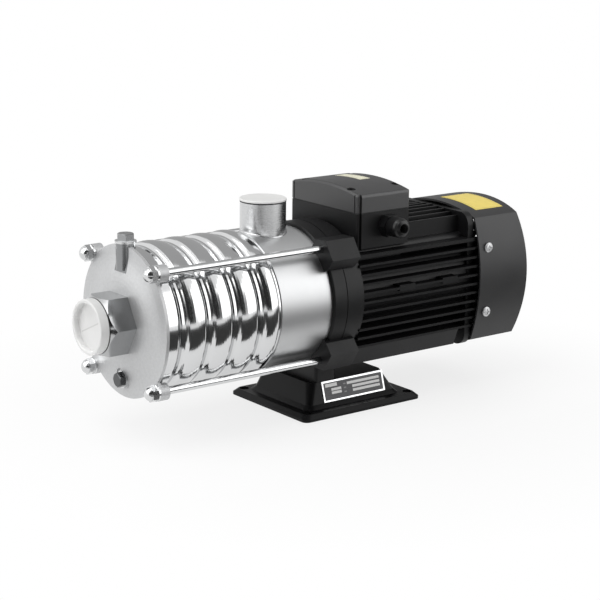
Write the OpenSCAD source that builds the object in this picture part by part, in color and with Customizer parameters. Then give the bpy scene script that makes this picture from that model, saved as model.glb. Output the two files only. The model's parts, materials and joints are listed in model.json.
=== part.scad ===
// Horizontal multistage booster pump with a close-coupled, fan-cooled motor.
// X runs along the shaft towards the motor and Z is up.
// The origin is on the floor, at the centre of the four holes in the foot.

/* [Stages] */
// Length of one stage along the shaft
stage_pitch = 27; // [26:0.5:30]
// Diameter at the joints between the casings
joint_d = 128; // [127:0.5:129]
// Diameter over the crown of a stage casing
crown_d = 133.5; // [131.5:0.5:134]
// Wall of the pressed casings
shell_t = 1.5; // [1.2:0.1:1.8]
// Depth of the last casing inside the discharge chamber
spigot_len = 4; // [3:0.5:5]
// Diameter of an impeller
impeller_d = 88; // [82:1:94]
// Outside diameter of an impeller's neck
neck_d = 45; // [42:0.5:47]
// Height of an impeller's water passage
passage_h = 5; // [4:0.5:5.5]
// Sheet that the impellers and guide vanes are made from
vane_t = 1.2; // [1:0.1:1.5]
// Width of the water gap around a guide vane wheel
rim_gap = 4; // [3:0.5:6]

/* [Suction end] */
// Diameter of the suction cover
cover_d = 135; // [134:0.5:136]
// Thickness of the suction cover
cover_t = 3; // [2.5:0.5:4]
// Height of the dish in the middle of the suction cover
dish_h = 4.5; // [3.5:0.5:5.5]
// Length from the suction cover's rim to the first stage
inlet_len = 19.5; // [18.5:0.5:22]
// Width across the flats of the suction hexagon
hex_af = 50; // [49:0.5:53]
// Length of the suction hexagon
hex_len = 23.5; // [22:0.5:27]
// Bore of the suction thread
suction_bore_d = 38.95; // [37:0.05:39.5]
// Length of the suction thread
suction_thread_len = 18.5; // [15:0.5:19]
// Diameter of the suction cap
suction_cap_d = 48.5; // [46:0.5:49]
// Height of the suction cap's rim over the hexagon's face
suction_cap_t = 9; // [8:0.1:10]
// Width of the suction cap's rim round its sunk panel
suction_cap_rim_w = 3.6; // [3:0.1:5]
// Thickness of the suction cap's panel
suction_cap_panel_t = 3.6; // [3:0.1:4.5]

/* [Discharge end] */
// Length of the discharge chamber
chamber_len = 56; // [54:0.5:62]
// Diameter of the discharge chamber
chamber_d = 127; // [126.5:0.5:128]
// Distance from the lantern's front face to the discharge port
port_back = 31.3; // [28:0.1:33]
// Outside diameter of the discharge tube
port_d = 41.8; // [40:0.1:44]
// Bore of the discharge thread
port_bore_d = 30.29; // [29:0.01:31]
// Length of the discharge thread
port_thread_len = 17; // [14:0.5:18]
// Height of the discharge port above the shaft
port_h = 90.8; // [89:0.1:96]
// Height of the discharge cap's disc
port_cap_t = 1.8; // [1.5:0.1:3]
// Thickness of the seal cover's flange
seal_flange_t = 2; // [1.5:0.5:3]

/* [Tie rods] */
// Gap between the tie rods and the casings' crown
rod_clear = 2.6; // [2.4:0.1:3.2]
// Diameter of a tie rod
rod_d = 7; // [6.5:0.1:7.2]
// Width across the flats of a dome nut
dome_af = 13; // [12:0.5:14]
// Height of a dome nut
dome_h = 9.8; // [9:0.2:11]
// Diameter of the ears on the suction cover
ear_d = 15; // [14.5:0.1:15.6]
// Length of the ears on the suction cover
ear_len = 9; // [6:0.5:12]

/* [Plugs] */
// Bore for the priming plug
priming_bore_d = 12; // [11:0.5:13]
// Width across the flats of the priming plug
priming_af = 14; // [13:0.5:15]
// Diameter of the priming plug's boss
boss_d = 17; // [16.5:0.5:18]
// Bore for the drain plug
drain_bore_d = 10; // [9:0.5:11]
// Width across the flats of the drain plug
drain_af = 12; // [11.5:0.5:13]
// Distance from the shaft down to the drain plug
drain_drop = 51.5; // [51:0.5:52]
// Length of a plug's thread
plug_len = 9.5; // [8:0.5:9.5]

/* [Lantern and foot] */
// Height of the shaft above the floor
shaft_height = 106; // [103:0.5:115]
// Distance from the lantern's front face to the centre of the foot
lantern_to_foot = 44; // [42:0.5:47]
// Length of the lantern
lantern_len = 30.5; // [30:0.5:34]
// Diameter of the lantern
lantern_d = 134; // [133:0.5:135]
// Distance from the lantern's front face to its leg
leg_back = 2.7; // [2:0.1:4]
// Length of the leg along the shaft
leg_len = 23; // [21:0.5:24]
// Width of the leg
leg_w = 74; // [70:1:76]
// Length of the foot along the shaft
foot_len = 138; // [136:1:150]
// Width of the foot
foot_w = 117; // [115:1:130]
// Height of the raised part of the foot
pan_h = 28.5; // [26:0.5:32]
// Sheet that the foot is pressed from
pan_t = 2.5; // [2:0.1:3]
// Distance from the foot's ends to its holes
hole_end_in = 9; // [8.5:0.5:10]
// Distance from the foot's sides to its holes
hole_side_in = 10; // [9:0.5:11]
// Diameter of the foot's holes
foot_hole_d = 9; // [8:0.5:9.5]

/* [Motor] */
// Length of the motor housing
housing_len = 150; // [146:1:160]
// Diameter of the housing inside its fins
core_d = 108; // [106:0.5:109]
// Diameter of the stator
stator_d = 100; // [97:0.5:101]
// Bore of the stator
stator_bore_d = 60; // [58:0.5:62]
// Length of the stator
stator_len = 80; // [70:1:86]
// Distance between neighbouring side fins
fin_pitch = 8.5; // [8:0.1:8.6]
// Thickness of a fin
fin_t = 2.2; // [1.8:0.1:2.6]
// Distance between neighbouring top fins
top_fin_pitch = 9.5; // [9:0.1:9.6]
// Diameter of the shaft in the pump
wet_shaft_d = 14; // [13:0.5:15]
// Diameter of the shaft in the front bearing
front_journal_d = 20; // [19:0.5:21]
// Diameter of the shaft in the rear bearing
rear_journal_d = 15; // [14.5:0.5:16]

/* [Fan and its cover] */
// Width of the fan cover over its bulged sides
fan_cover_w = 131; // [130.5:0.5:134]
// Height of the fan cover over its bulged top and bottom
fan_cover_h = 138; // [137.5:0.5:142]
// Radius of the fan cover's bulged sides
side_r = 165; // [162:1:170]
// Length of the fan cover at the middle of its sides
fan_cover_len = 61.5; // [60:0.5:66]
// Radius of the fan cover's domed back
dome_r = 190; // [180:5:240]
// Wall of the fan cover
fan_cover_t = 1.8; // [1.5:0.1:2]
// Diameter of the cooling fan
fan_d = 100; // [92:1:104]
// Number of fan blades
blade_count = 8; // [6:1:10]
// Number of rings of slots in the fan cover's back
slot_rings = 5; // [3:1:5]

/* [Terminal box] */
// Length of the terminal box
box_len = 62; // [60:0.5:64]
// Width of the terminal box
box_w = 100; // [98:0.5:104]
// Height of the terminal box without its lid
box_h = 32.5; // [31:0.5:36]
// Height of the lid at its edge
lid_h = 16.5; // [16:0.5:20]
// Rise of the lid's crown
lid_rise = 5.8; // [5:0.1:7]
// Wall of the terminal box
box_wall = 2.5; // [2:0.1:2.6]
// Diameter of the hole for the cable
cable_d = 8; // [7:0.5:9]

/* [Hidden] */

// Clearances
stages = 4;
weld_gap = 0.1;
seat_gap = 0.05;
slide_gap = 0.3;
running_gap = 0.3;
screw_gap = 0.1;

// Forms of the pressed casings
bead_w = 1.1;
bead_h = 1.5;
valley_w = 1.2;
shoulder_w = 4;
crown_rise = 0.9;
shoulder_steps = 5;
crown_steps = 6;
joint_r = joint_d / 2;
crown_r = crown_d / 2;
valley_r = joint_r - bead_h;
edge_r = crown_r - crown_rise;
shell_in_r = valley_r - shell_t;

// Places along the shaft
x_lantern = -lantern_to_foot;
x_seal_cover = x_lantern - seal_flange_t;
x_chamber = x_lantern - chamber_len;
function x_joint(i) = x_chamber + spigot_len - (stages - i) * stage_pitch;
x_face = x_joint(0) - inlet_len;
x_port = x_lantern - port_back;
x_motor = x_lantern + lantern_len;
x_housing_end = x_motor + housing_len;
rod_off = (crown_r + rod_clear + rod_d / 2) / sqrt(2);

// Impellers and guide wheels
neck_r = neck_d / 2;
impeller_r = impeller_d / 2;
eye_r = neck_r - 2;
neck_start = 0.8;
shroud_x = 3.6;
passage_x = shroud_x + vane_t;
back_x = passage_x + passage_h;
impeller_end = back_x + vane_t;
hub_r = wet_shaft_d / 2 + 3.5;
hub_x = passage_x + 0.5;
guide_x = impeller_end + 2;
guide_r = shell_in_r - rim_gap;
web_hole_r = neck_r + running_gap + 3;
impeller_vanes = 6;
guide_vanes = 8;
vane_steps = 7;
guide_sweep = 50;
impeller_sweep = 70;
wet_r = wet_shaft_d / 2;
sleeve_r = wet_r + 3;
nut_len = 9;
nut_af = 19;
shaft_start = 3.5;

// Seal
seat_r = wet_r + 8;
seat_len = 7;
hub_depth = 14;
head_r = wet_r + 7;
head_len = 12;
spring_len = 12;
spring_r = wet_r + 3.5;
spring_wire_r = 1;
spring_turns = 3.5;
spring_steps = 14;

// Lantern and foot
lantern_r = lantern_d / 2;
ring_len = 14.5;
line_w = 0.8;
lantern_wall = 9;
hub_wall_x = 9;
bearing_hub_r = 29;
front_bearing_x = 15;
front_bearing_len = 14;
front_bearing_r = 23.5;
rear_bearing_len = 11;
rear_bearing_r = 17.5;
ear_ahead = 4.5;
ear_back = 27.5;
ear_bolt_depth = 22;
ear_in = 13.5;
ear_top = 8.2;
ear_out = 17;
ear_low = 18;
leg_x = x_lantern + leg_back;
leg_corner_r = 3;
foot_bolt_y = leg_w / 2 - 15;
foot_bolt_r = 4;
foot_bolt_af = 13;
foot_bolt_head = 5.3;
foot_bolt_grip = 13;
foot_hole_x = foot_len - 2 * hole_end_in;
foot_hole_y = foot_w - 2 * hole_side_in;
hole_pad_w = 2.8;
foot_edge_h = 2.5;
flange_h = 6;
flange_slope = 3.5;
skirt_h = 3.5;
skirt_out = 4;
base_front = 15.5;
base_rear = 19;
base_side = 15.5;
top_front = 21.5;
top_rear = 30;
top_side = 21.2;
foot_corner_r = 6;
block_corner_r = 8;
plate_len = 72.5;
plate_w = 19.3;
plate_t = 0.6;
plate_off = 0.85;

// Motor
core_r = core_d / 2;
stator_r = stator_d / 2;
side_fins = 10;
side_fin_top = 31.6;
pad_fin = 3;
pad_in = 49.5;
pad_x = x_motor + pad_in;
pad_len = 19;
pad_step = 53;
pad_h = 5.5;
shelf_z = 38;
shelf_t = 3.5;
fin_inset = fan_cover_t + 1.2;
front_flange_len = 5;
front_flange_r = lantern_r - 2;
top_fins = 9;
top_fin_short = 7.5;
rail_w = 20;
rail_y = 30;
rail_bottom = 62;
rail_len = 126;
rear_flange_len = 7.5;
rear_flange_w = 108;
rear_flange_h = 130;
rear_flange_r = 12;
bottom_fins = 5;
tie_y = 40.3;
tie_boss_r = 5.5;
tie_bolt_r = 2.5;
tie_bolt_grip = 18;
tie_bolt_af = 8;
tie_bolt_head = 3.5;
saddle_w = 86;
air_gap = 0.4;
stator_x = 30;
winding_len = 16;
end_ring_len = 5;
slot_count = 18;

// Fan end
cover_overlap = 2;
x_cover = x_housing_end - cover_overlap;
shield_t = 6;
shield_r = 61.5;
cover_screw_x = 11;
cover_screw_z = 31.5;
cover_screw_r = 2.5;
cover_screw_head_r = 4.7;
cover_screw_head_t = 1.8;
x_rear_bearing = x_housing_end - 3;
x_fan = x_housing_end + 16;
fan_disc_t = 2;
fan_blade_w = 18;
fan_hub_r = 13;
fan_seat_r = rear_journal_d / 2 - 0.5;
slot_w = 3.6;
slot_step = 7.6;
slot_first = 12;
spoke_w = 4;
side_c = fan_cover_w / 2 - side_r;
top_c = fan_cover_h / 2 - side_r;
x_dome = x_cover + fan_cover_len - sqrt(pow(dome_r, 2) - pow(fan_cover_w / 2, 2));

// Terminal box
x_box = x_motor + 8;
box_lift = 3.5;
box_z = shelf_z + shelf_t + box_lift;
floor_z = 55;
floor_t = 2.5;
gasket_t = 1;
gasket_in = 0.6;
box_corner_r = 3;
box_inner_r = 8;
lid_edge_r = 4;
lid_end_r = 3.5;
lid_z = box_z + box_h + gasket_t;
lid_r = (pow(box_w / 2, 2) + pow(lid_rise, 2)) / (2 * lid_rise);
lid_axis_z = lid_z + lid_h + lid_rise - lid_r;
column_r = 5.1;
column_end_in = 5.2;
column_side_in = 16.5;
lid_pocket_r = 4;
lid_pocket_floor = 6;
lid_screw_r = 2;
lid_screw_grip = 9;
lid_screw_head = 2.2;
groove_w = 3.4;
groove_deep = 2;
groove_in = 1;
line_groove_w = 1.3;
line_groove_deep = 0.6;
line_groove_in = 5;
gland_in = 43;
gland_x = x_motor + gland_in;
gland_z = 64.4;
gland_af = 19.5;
gland_hex_len = 8;
gland_thread_r = 7.2;
gland_neck_len = 8;
gland_nut_r = 9.2;
gland_nut_len = 15.3;
gland_wall = 2;
block_len = 36;
block_w = 22;
block_h = 9;
stud_pitch = 11;
stud_r = 2;
stud_h = 4.5;

// Plugs
boss_x = x_face + 3;
boss_top = 69.3;
boss_bottom = 46;
plug_gap = 0.08;
washer_t = 1.8;
priming_washer_d = 18.8;
priming_hex_h = 6.2;
tab_in = 0.25;
drain_pad_h = 1.1;
drain_face_r = 10;
drain_pad_r = 9;
drain_boss_deep = 8;
drain_washer_d = 15.2;
drain_hex_h = 5;

// Colours
polished = [0.80, 0.81, 0.82];
blasted = [0.72, 0.73, 0.74];
black = [0.10, 0.10, 0.11];
dark = [0.17, 0.17, 0.18];
white = [0.93, 0.93, 0.92];
rubber = [0.07, 0.07, 0.07];
copper = [0.72, 0.42, 0.24];
iron = [0.45, 0.46, 0.48];
brass = [0.75, 0.62, 0.32];

$fn = 96;

// Puts a part drawn along Z on the shaft, starting at x and running towards the motor.
module on_shaft(x) {
    translate([x, 0, shaft_height]) rotate([0, 90, 0]) children();
}

// Turns a half section, given as [radius, distance along the shaft], about the shaft.
module turned(x, half_section) {
    on_shaft(x) rotate_extrude() polygon(half_section);
}

// Runs a section, drawn as (y, z) about the shaft, from x towards the motor.
module run_section(x, len) {
    translate([x, 0, shaft_height]) rotate([90, 0, 90]) linear_extrude(len) children();
}

// Stands the same piece at each of the four tie rods.
module at_rods(x) {
    for (y = [-rod_off, rod_off], z = [-rod_off, rod_off])
        translate([x, y, shaft_height + z]) rotate([0, 90, 0]) children();
}

module hex_bar(af, len) {
    cylinder(d = af / cos(30), h = len, $fn = 6);
}

module ring(outer_r, inner_r, len) {
    difference() {
        cylinder(r = outer_r, h = len);
        translate([0, 0, -1]) cylinder(r = inner_r, h = len + 2);
    }
}

module rounded_plate(len, w, r) {
    square([len - 2 * r, w], center = true);
    square([len, w - 2 * r], center = true);
    for (x = [-1, 1], y = [-1, 1])
        translate([x * (len / 2 - r), y * (w / 2 - r)]) circle(r);
}

// Depth of the dish in the suction cover at a radius.
dish_in_r = 32;
dish_out_r = 62;
function dish(r) = dish_h * (1 + cos(180 * (r - dish_in_r) / (dish_out_r - dish_in_r))) / 2;
dish_steps = 8;
cover_hole_r = suction_bore_d / 2 + 3.1;

module suction_cover() {
    radii = [for (k = [0:dish_steps]) dish_out_r + (dish_in_r - dish_out_r) * k / dish_steps];
    front = [for (r = radii) [r, -dish(r)]];
    back = [for (k = [0:dish_steps]) let (r = radii[dish_steps - k]) [r, cover_t - dish(r)]];
    section = concat([[cover_d / 2, 0]], front,
        [[cover_hole_r, -dish_h], [cover_hole_r, cover_t - dish_h]], back, [[cover_d / 2, cover_t]]);
    color(blasted) difference() {
        union() {
            difference() {
                turned(x_face, section);
                translate([x_face - dish_h - 1, 0, shaft_height - drain_drop]) rotate([0, 90, 0])
                    cylinder(r = drain_face_r, h = dish_h + 1 - drain_pad_h);
            }
            at_rods(x_face) cylinder(d = ear_d, h = ear_len);
            ear_tabs();
            priming_boss();
            translate([x_face - drain_pad_h, 0, shaft_height - drain_drop]) rotate([0, 90, 0])
                cylinder(r = drain_pad_r, h = drain_pad_h + drain_boss_deep);
        }
        at_rods(x_face - 1) cylinder(d = rod_d + 2 * slide_gap, h = ear_len + 2);
        translate([boss_x, 0, shaft_height + boss_top - plug_len - 3])
            cylinder(d = priming_bore_d, h = plug_len + 4);
        translate([boss_x, 0, shaft_height + boss_top - plug_len - 3]) rotate([0, 90, 0])
            cylinder(r = 2.5, h = boss_d);
        translate([x_face - drain_pad_h - 1, 0, shaft_height - drain_drop]) rotate([0, 90, 0])
            cylinder(d = drain_bore_d, h = drain_pad_h + drain_boss_deep + 2);
    }
}

// Webs that join the ears to the rim of the cover.
module ear_tabs() {
    reach = rod_off * sqrt(2);
    for (a = [45:90:315]) translate([x_face, 0, shaft_height]) rotate([a, 0, 0])
        translate([tab_in, cover_d / 2 - 6, tab_in - ear_d / 2])
            cube([cover_t - 2 * tab_in, reach - cover_d / 2 + 6, ear_d - 2 * tab_in]);
}

// Upright boss for the priming plug, sloped back into the cover at its foot.
module priming_boss() {
    slope = 35;
    difference() {
        translate([boss_x, 0, shaft_height + boss_bottom])
            cylinder(d = boss_d, h = boss_top - boss_bottom);
        translate([boss_x, 0, shaft_height + boss_bottom]) rotate([0, -slope, 0])
            translate([-2 * boss_d, -boss_d, -boss_d]) cube([3 * boss_d, 2 * boss_d, boss_d]);
    }
}

module suction_nipple() {
    corner_r = hex_af / 2 / cos(30);
    face_r = hex_af / 2 - 0.5;
    cap_seat_len = hex_len + cover_t - suction_thread_len;
    x_front = x_face - dish_h - hex_len;
    color(polished) difference() {
        union() {
            intersection() {
                on_shaft(x_front) rotate([0, 0, 30]) hex_bar(hex_af, hex_len);
                turned(x_front, [[0, 0], [face_r, 0], [corner_r + 1, corner_r + 1 - face_r],
                    [corner_r + 1, hex_len], [0, hex_len]]);
            }
            on_shaft(x_face - dish_h - 1) cylinder(r = cover_hole_r - weld_gap, h = cover_t + 1);
        }
        on_shaft(x_front - 1) cylinder(d = suction_bore_d, h = hex_len + cover_t + 2);
        on_shaft(x_front - 1) cylinder(r = suction_seat_r, h = cap_seat_len + 1);
    }
}
suction_seat_r = suction_bore_d / 2 + 1.6;
port_seat_r = port_bore_d / 2 + 1.7;
cap_spigot_t = 1.5;
cap_spigot_short = 0.6;

module inlet_shell() {
    inlet_r = ear_clear_r;
    len = inlet_len - cover_t;
    line = concat([[inlet_r, 0]], [for (k = [0:shoulder_steps]) let (a = k / shoulder_steps)
        [valley_r + (inlet_r - valley_r) * (1 + cos(180 * a)) / 2,
         len - bead_w - valley_w - shoulder_w * (1 - a)]]);
    n = len(line);
    section = concat(line, [[valley_r, len - bead_w], [joint_r, len - bead_w], [joint_r, len],
        [shell_in_r, len]], [for (k = [n - 1:-1:0]) [line[k][0] - shell_t, line[k][1]]]);
    color(polished) difference() {
        turned(x_face + cover_t, section);
        translate([boss_x, 0, shaft_height]) cylinder(d = boss_d + 2 * weld_gap, h = boss_top);
    }
}
ear_clear_r = rod_off * sqrt(2) - ear_d / 2 - 0.4;

// Half section of a pressed casing whose visible length is len.
function crown_line(len) = concat(
    [for (k = [0:shoulder_steps]) let (a = k / shoulder_steps)
        [valley_r + (edge_r - valley_r) * (1 - cos(180 * a)) / 2,
         bead_w + valley_w + shoulder_w * a]],
    [for (k = [1:crown_steps - 1]) let (a = k / crown_steps, x0 = bead_w + valley_w + shoulder_w)
        [edge_r + crown_rise * sin(180 * a), x0 + (len - 2 * x0) * a]],
    [for (k = [0:shoulder_steps]) let (a = k / shoulder_steps)
        [valley_r + (edge_r - valley_r) * (1 + cos(180 * a)) / 2,
         len - bead_w - valley_w - shoulder_w * (1 - a)]]);

module stage_casing(i) {
    last = i == stages;
    len = last ? stage_pitch - spigot_len : stage_pitch;
    line = crown_line(len);
    n = len(line);
    inner = [for (k = [n - 1:-1:0]) [line[k][0] - shell_t, line[k][1]]];
    spigot_r = chamber_d / 2 - shell_t - weld_gap;
    end = last ? [[valley_r, len], [spigot_r, len], [spigot_r, stage_pitch],
                  [spigot_r - shell_t, stage_pitch], [spigot_r - shell_t, len - bead_w]]
               : [[valley_r, len - bead_w], [joint_r, len - bead_w], [joint_r, len],
                  [shell_in_r, len]];
    section = concat([[web_hole_r, 0], [joint_r, 0], [joint_r, bead_w], [valley_r, bead_w]],
        line, end, inner, [[shell_in_r, shell_t], [web_hole_r, shell_t]]);
    color(polished) turned(x_joint(i - 1), section);
}

// A curved vane from one radius to another, swept back by an angle.
function vane_side(r0, r1, sweep, shift) = [for (k = [0:vane_steps])
    let (a = k / vane_steps, r = r0 + (r1 - r0) * a, t = sweep * a + shift * 57.3 / r)
    [r * cos(t), r * sin(t)]];
module vane(r0, r1, sweep, h) {
    one = vane_side(r0, r1, sweep, -vane_t / 2);
    other = vane_side(r0, r1, sweep, vane_t / 2);
    linear_extrude(h) polygon(concat(one, [for (k = [vane_steps:-1:0]) other[k]]));
}

module guide_wheel(i) {
    vane_h = stage_pitch - guide_x - vane_t;
    bite = 0.2;
    color(polished) on_shaft(x_joint(i - 1) + guide_x) {
        ring(guide_r, hub_r + running_gap + 0.2, vane_t);
        for (k = [0:guide_vanes - 1]) rotate([0, 0, k * 360 / guide_vanes])
            translate([0, 0, vane_t - bite]) vane(web_hole_r + 1, guide_r - 1, guide_sweep, vane_h + bite);
    }
}

module impeller(i) {
    bite = 0.2;
    color(polished) on_shaft(x_joint(i - 1)) difference() {
        union() {
            translate([0, 0, neck_start]) ring(neck_r, eye_r, shroud_x - neck_start + vane_t);
            translate([0, 0, shroud_x]) ring(impeller_r, eye_r, vane_t);
            translate([0, 0, back_x]) cylinder(r = impeller_r, h = vane_t);
            translate([0, 0, hub_x]) cylinder(r = hub_r, h = impeller_end - hub_x);
            for (k = [0:impeller_vanes - 1]) rotate([0, 0, k * 360 / impeller_vanes])
                translate([0, 0, passage_x - bite])
                    vane(eye_r + 1, impeller_r - 0.5, -impeller_sweep, passage_h + 2 * bite);
        }
        cylinder(r = wet_r + seat_gap, h = stage_pitch);
    }
}

// Rings in the casings' webs that the impellers' necks run in.
module neck_rings() {
    lip = 1;
    color(white) for (i = [1:stages])
        turned(x_joint(i - 1), [[neck_r + running_gap, 0.2], [web_hole_r - seat_gap, 0.2],
            [web_hole_r - seat_gap, shell_t], [web_hole_r + 2.5, shell_t],
            [web_hole_r + 2.5, shell_t + lip], [neck_r + running_gap, shell_t + lip]]);
}

module seal_ring(x, r, wire_r) {
    on_shaft(x) rotate_extrude() translate([r, 0]) circle(wire_r, $fn = 24);
}

module casing_seals() {
    wire_r = 1.3;
    chamber_in_r = chamber_d / 2 - shell_t;
    spigot_in_r = chamber_in_r - weld_gap - shell_t;
    color(rubber) {
        for (i = [0:stages - 1])
            seal_ring(x_joint(i) - wire_r - seat_gap, shell_in_r - wire_r - seat_gap, wire_r);
        seal_ring(x_joint(stages) - wire_r - seat_gap, spigot_in_r - wire_r - seat_gap, wire_r);
        seal_ring(x_seal_cover - wire_r - seat_gap, chamber_in_r - wire_r - seat_gap, wire_r);
    }
}

module discharge_chamber() {
    outer_r = chamber_d / 2;
    inner_r = outer_r - shell_t;
    len = chamber_len - seal_flange_t;
    color(polished) difference() {
        turned(x_chamber, [[outer_r, 0], [outer_r, len], [inner_r, len],
            [inner_r, spigot_len + shell_t], [web_hole_r, spigot_len + shell_t],
            [web_hole_r, spigot_len], [inner_r, spigot_len], [inner_r, 0]]);
        translate([x_port, 0, shaft_height]) cylinder(d = port_d + 2 * weld_gap, h = outer_r + 5);
    }
}

module discharge_tube() {
    inner_r = chamber_d / 2 - shell_t;
    bottom = sqrt(pow(inner_r, 2) - pow(port_d / 2, 2)) - 1;
    top_len = port_seat_len();
    color(polished) translate([x_port, 0, shaft_height]) difference() {
        translate([0, 0, bottom]) cylinder(d = port_d, h = port_h - bottom);
        translate([0, 0, port_h - top_len]) cylinder(r = port_seat_r, h = top_len + 1);
        translate([0, 0, port_h - top_len - port_thread_len])
            cylinder(d = port_bore_d, h = port_thread_len + 1);
        translate([0, 0, bottom - 1]) cylinder(d = port_bore_d - 2, h = port_h - bottom);
        translate([-port_d, 0, 0]) rotate([0, 90, 0]) cylinder(r = inner_r, h = 2 * port_d);
    }
}
function port_seat_len() = 7;

module seal_cover() {
    plate_r = chamber_d / 2;
    spigot_r = plate_r - shell_t - 4;
    color(polished) turned(x_seal_cover, [[wet_r + 2, seal_flange_t], [plate_r, seal_flange_t],
        [plate_r, 0], [spigot_r, 0], [spigot_r, -3], [spigot_r - 2, -3], [spigot_r - 2, 0],
        [seat_r + 4, 0], [seat_r + 4, -hub_depth], [seat_r + seat_gap, -hub_depth],
        [seat_r + seat_gap, -1], [wet_r + 2, -1]]);
}

module seal_seat() {
    color(white) turned(x_seal_cover, [[wet_r + 1.2, -1 - seat_len], [seat_r - 1, -1 - seat_len],
        [seat_r, -seat_len], [seat_r, -1], [wet_r + 1.2, -1]]);
}
x_head = x_seal_cover - 1 - seat_len - running_gap - head_len;

module seal_head() {
    color(dark) turned(x_head, [[wet_r + seat_gap, 0], [head_r, 0], [head_r, head_len - 3],
        [head_r - 2, head_len - 3], [head_r - 2, head_len], [wet_r + 2, head_len],
        [wet_r + 2, head_len - 2], [wet_r + seat_gap, head_len - 2]]);
}

// Coil spring as one closed sweep of an eight-sided wire.
module seal_spring() {
    sides = 8;
    rings = floor(spring_turns * spring_steps);
    rise = spring_len - 2 * spring_wire_r;
    points = [for (k = [0:rings]) let (a = 360 * k / spring_steps, z = spring_wire_r + rise * k / rings)
        for (j = [0:sides - 1]) let (b = 360 * j / sides, r = spring_r + spring_wire_r * cos(b))
            [r * cos(a), r * sin(a), z + spring_wire_r * sin(b)]];
    walls = [for (k = [0:rings - 1], j = [0:sides - 1]) let (n = (j + 1) % sides)
        each [[k * sides + j, (k + 1) * sides + j, (k + 1) * sides + n],
              [k * sides + j, (k + 1) * sides + n, k * sides + n]]];
    ends = [[for (j = [0:sides - 1]) j], [for (j = [sides - 1:-1:0]) rings * sides + j]];
    color(polished) on_shaft(x_head - spring_len) polyhedron(points, concat(walls, ends));
}

module spacer_sleeves() {
    hub_gap = stage_pitch - impeller_end + hub_x;
    last_len = x_head - spring_len - x_joint(stages - 1) - impeller_end;
    color(polished) {
        for (i = [1:stages - 1])
            on_shaft(x_joint(i - 1) + impeller_end) ring(sleeve_r, wet_r + seat_gap, hub_gap);
        on_shaft(x_joint(stages - 1) + impeller_end) ring(sleeve_r, wet_r + seat_gap, last_len);
    }
}

module shaft_nut() {
    color(brass) on_shaft(x_joint(0) + hub_x - nut_len) difference() {
        hex_bar(nut_af, nut_len);
        translate([0, 0, -1]) cylinder(r = wet_r + seat_gap, h = nut_len + 2);
    }
}
front_journal_r = front_journal_d / 2;
rear_journal_r = rear_journal_d / 2;
shoulder_r = front_journal_r + 2.5;

module shaft() {
    x0 = x_joint(0) + hub_x - nut_len - shaft_start;
    front_seat = x_lantern + front_bearing_x;
    color(iron) turned(0, [[0, x0], [wet_r - 1, x0], [wet_r, x0 + 1], [wet_r, x_seal_cover - 1],
        [front_journal_r - 2, x_lantern + 4], [front_journal_r, x_lantern + 6],
        [front_journal_r, front_seat + front_bearing_len],
        [shoulder_r, front_seat + front_bearing_len], [shoulder_r, x_rear_bearing],
        [rear_journal_r, x_rear_bearing], [rear_journal_r, x_rear_bearing + rear_bearing_len + 2],
        [fan_seat_r, x_rear_bearing + rear_bearing_len + 2],
        [fan_seat_r, x_fan + fan_blade_w], [0, x_fan + fan_blade_w]]);
}

module tie_rods() {
    front = x_face - washer_t - dome_h + 3.5;
    color(polished) at_rods(front)
        cylinder(d = rod_d, h = x_lantern - ear_ahead + ear_bolt_depth - 1 - front);
}

module dome_nuts() {
    hex_h = dome_h - 4.5;
    dome_start = dome_af / 2 - 0.5;
    color(polished) at_rods(x_face - washer_t - dome_h) difference() {
        union() {
            translate([0, 0, dome_h - hex_h]) hex_bar(dome_af, hex_h);
            rotate_extrude($fn = 48) polygon(concat([[0, dome_h - hex_h + 0.5]],
                [for (a = [0:15:90]) [dome_start * cos(a), (dome_h - hex_h) * (1 - sin(a))]]));
        }
        translate([0, 0, 3]) cylinder(d = rod_d + 2 * screw_gap, h = dome_h);
    }
}

module rod_washers() {
    color(polished) at_rods(x_face - washer_t)
        ring(dome_af / 2 + 0.9, rod_d / 2 + slide_gap, washer_t);
}

// One of the lantern's four ears, as (y, z) about the shaft.
module ear_section() {
    polygon([[rod_off - ear_in, rod_off], [rod_off - ear_top, rod_off + ear_top],
        [rod_off + ear_top - 2, rod_off + ear_top], [rod_off + ear_out, rod_off - ear_top],
        [rod_off + ear_top + 1, rod_off - ear_low], [rod_off + 3, rod_off - ear_low - 3]]);
}

// Leg between the foot and the ring of the lantern, up to a radius about the shaft.
module leg_block(inner_r) {
    difference() {
        translate([leg_x + leg_len / 2, 0, pan_h]) linear_extrude(shaft_height - pan_h - lantern_r / 2)
            rounded_plate(leg_len, leg_w, leg_corner_r);
        on_shaft(leg_x - 1) cylinder(r = inner_r, h = leg_len + 2);
    }
}

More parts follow.
